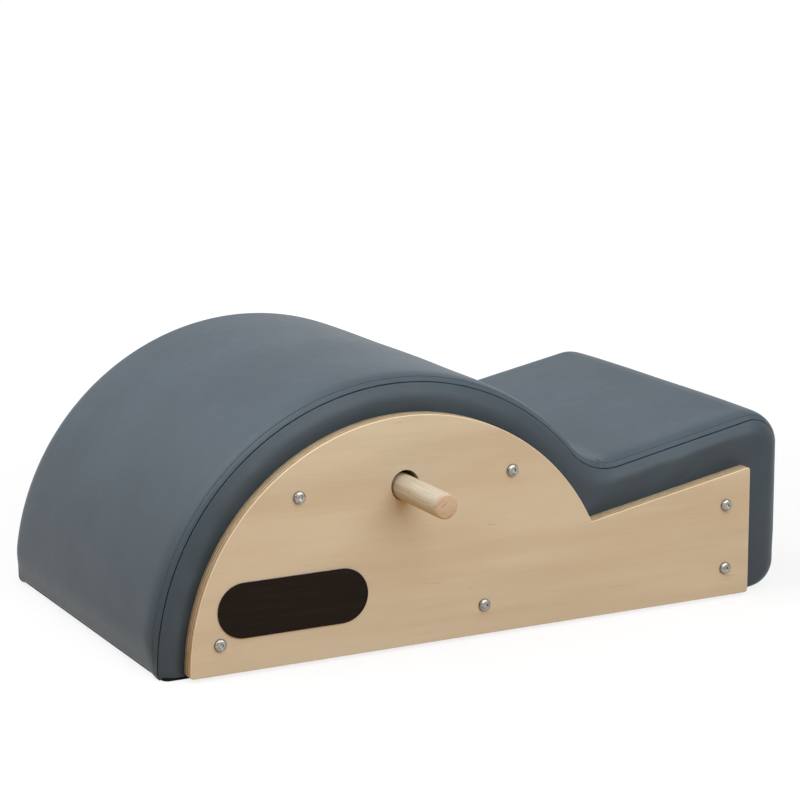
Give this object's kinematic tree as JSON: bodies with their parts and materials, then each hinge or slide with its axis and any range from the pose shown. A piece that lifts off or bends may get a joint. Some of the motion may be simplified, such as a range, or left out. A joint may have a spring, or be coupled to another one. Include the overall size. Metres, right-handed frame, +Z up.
{
  "type": "pilates spine corrector",
  "caption": "Upholstered half barrel with a sloping seat between two plywood side panels, and a loose wooden handle bar through both sides, for stretching the back.",
  "frame": {"origin": "on the floor, under the middle of the whole object", "axes": "+X along the length from the barrel to the seat, +Y from the near side to the far side along the handle bar, +Z up"},
  "size_m": [0.85, 0.71, 0.3231],
  "materials": {
    "side_plywood": "clear satin lacquer on pale birch plywood, fine layers on the cut edges",
    "frame_plywood": "raw plywood, inside the body",
    "pine": "raw planed pine, inside the body",
    "cover_leather": "smooth blue grey upholstery leather with a soft sheen",
    "foam": "raw cream foam, inside the cover",
    "underside_felt": "black non-slip felt",
    "stainless": "stainless button heads with hex sockets",
    "zinc_steel": "zinc plated, inside the body",
    "handle_ash": "pale ash dowel with a clear matt finish and chamfered ends",
    "plate_black": "near black plate with fine brushed streaks, bare"
  },
  "bodies": {
    "body": {"near_side_panel": "side_plywood", "far_side_panel": "side_plywood", "near_rib": "frame_plywood", "far_rib": "frame_plywood", "base_board": "frame_plywood", "barrel_deck": "frame_plywood", "seat_deck": "frame_plywood", "end_board": "frame_plywood", "foot_rail": "pine", "crown_rail": "pine", "valley_rail": "pine", "seat_rail": "pine", "heel_rail": "pine", "barrel_foam": "foam", "seat_foam": "foam", "end_foam": "foam", "top_cover": "cover_leather", "near_boxing": "cover_leather", "far_boxing": "cover_leather", "base_sheet": "underside_felt", "near_bolt_foot": "stainless", "near_bolt_middle": "stainless", "near_bolt_heel_low": "stainless", "near_bolt_heel_high": "stainless", "near_bolt_arch_front": "stainless", "near_bolt_arch_rear": "stainless", "far_bolt_foot": "stainless", "far_bolt_middle": "stainless", "far_bolt_heel_low": "stainless", "far_bolt_heel_high": "stainless", "far_bolt_arch_front": "stainless", "far_bolt_arch_rear": "stainless", "near_insert_foot": "zinc_steel", "near_insert_middle": "zinc_steel", "near_insert_heel_low": "zinc_steel", "near_insert_heel_high": "zinc_steel", "near_insert_arch_front": "zinc_steel", "near_insert_arch_rear": "zinc_steel", "far_insert_foot": "zinc_steel", "far_insert_middle": "zinc_steel", "far_insert_heel_low": "zinc_steel", "far_insert_heel_high": "zinc_steel", "far_insert_arch_front": "zinc_steel", "far_insert_arch_rear": "zinc_steel", "name_plate": "plate_black"},
    "handle": {"handle_bar": "handle_ash"}
  },
  "joints": [
    {"name": "handle_slide", "type": "slide", "parent": "body", "child": "handle", "axis": [0, 1, 0], "range_m": [-0.097, 0.097]}
  ]
}
